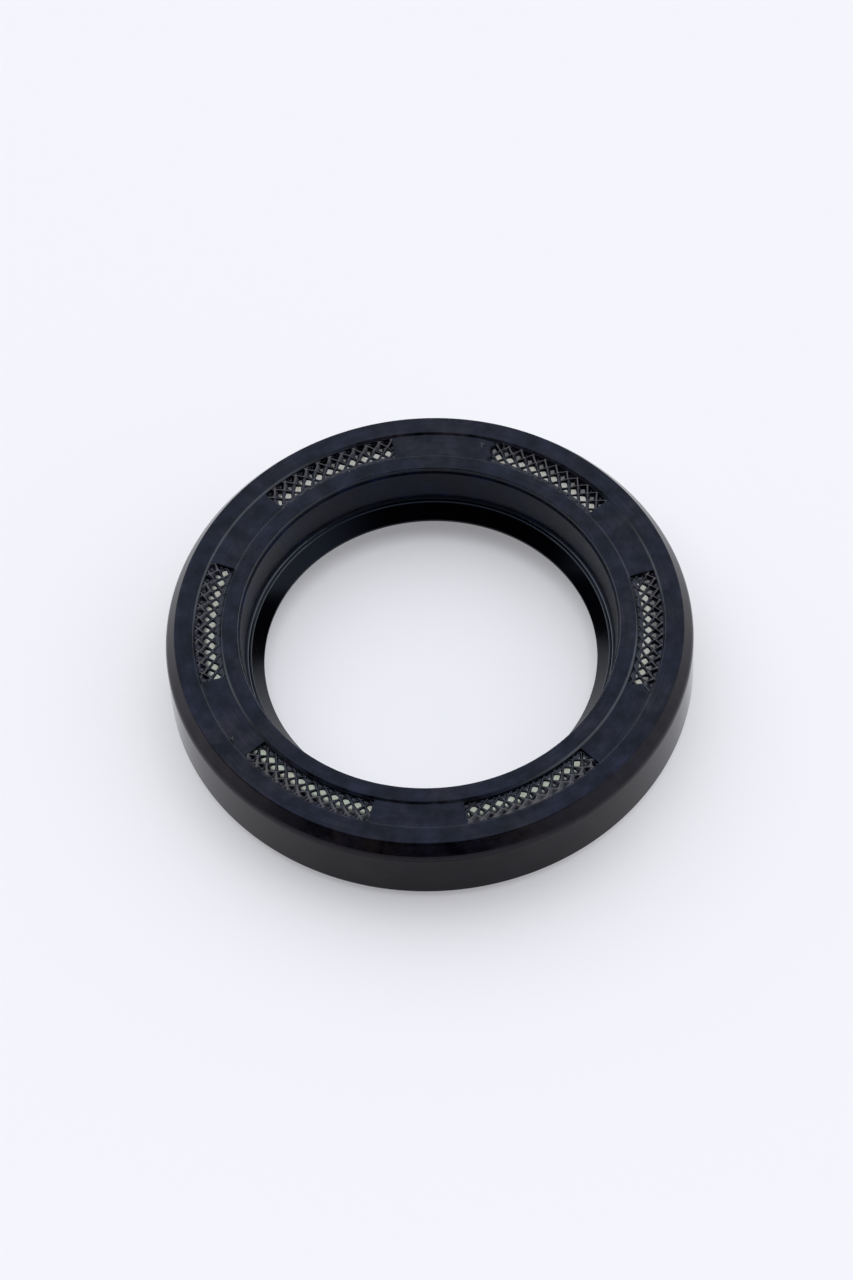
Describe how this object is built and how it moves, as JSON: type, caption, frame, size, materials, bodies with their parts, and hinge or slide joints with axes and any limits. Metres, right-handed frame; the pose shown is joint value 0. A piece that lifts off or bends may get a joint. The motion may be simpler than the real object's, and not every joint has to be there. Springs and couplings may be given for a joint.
{
  "type": "radial shaft seal",
  "caption": "Rubber-covered radial shaft seal with one sealing lip, a bonded steel ring shown through openings in its face, and a garter spring.",
  "frame": {"origin": "on the seal's axis, at the face on the oil side that it stands on", "axes": "+Z along the axis, from the oil side to the air side; +X through the middle of one opening in the air-side face"},
  "size_m": [0.062, 0.062, 0.01],
  "materials": {
    "nitrile_rubber": "satin moulded rubber",
    "case_steel": "matt phosphated and primed steel sheet",
    "spring_steel": "drawn spring wire"
  },
  "bodies": {
    "root": {"elastomer_body": "nitrile_rubber", "metal_case": "case_steel", "garter_spring": "spring_steel"}
  },
  "joints": []
}
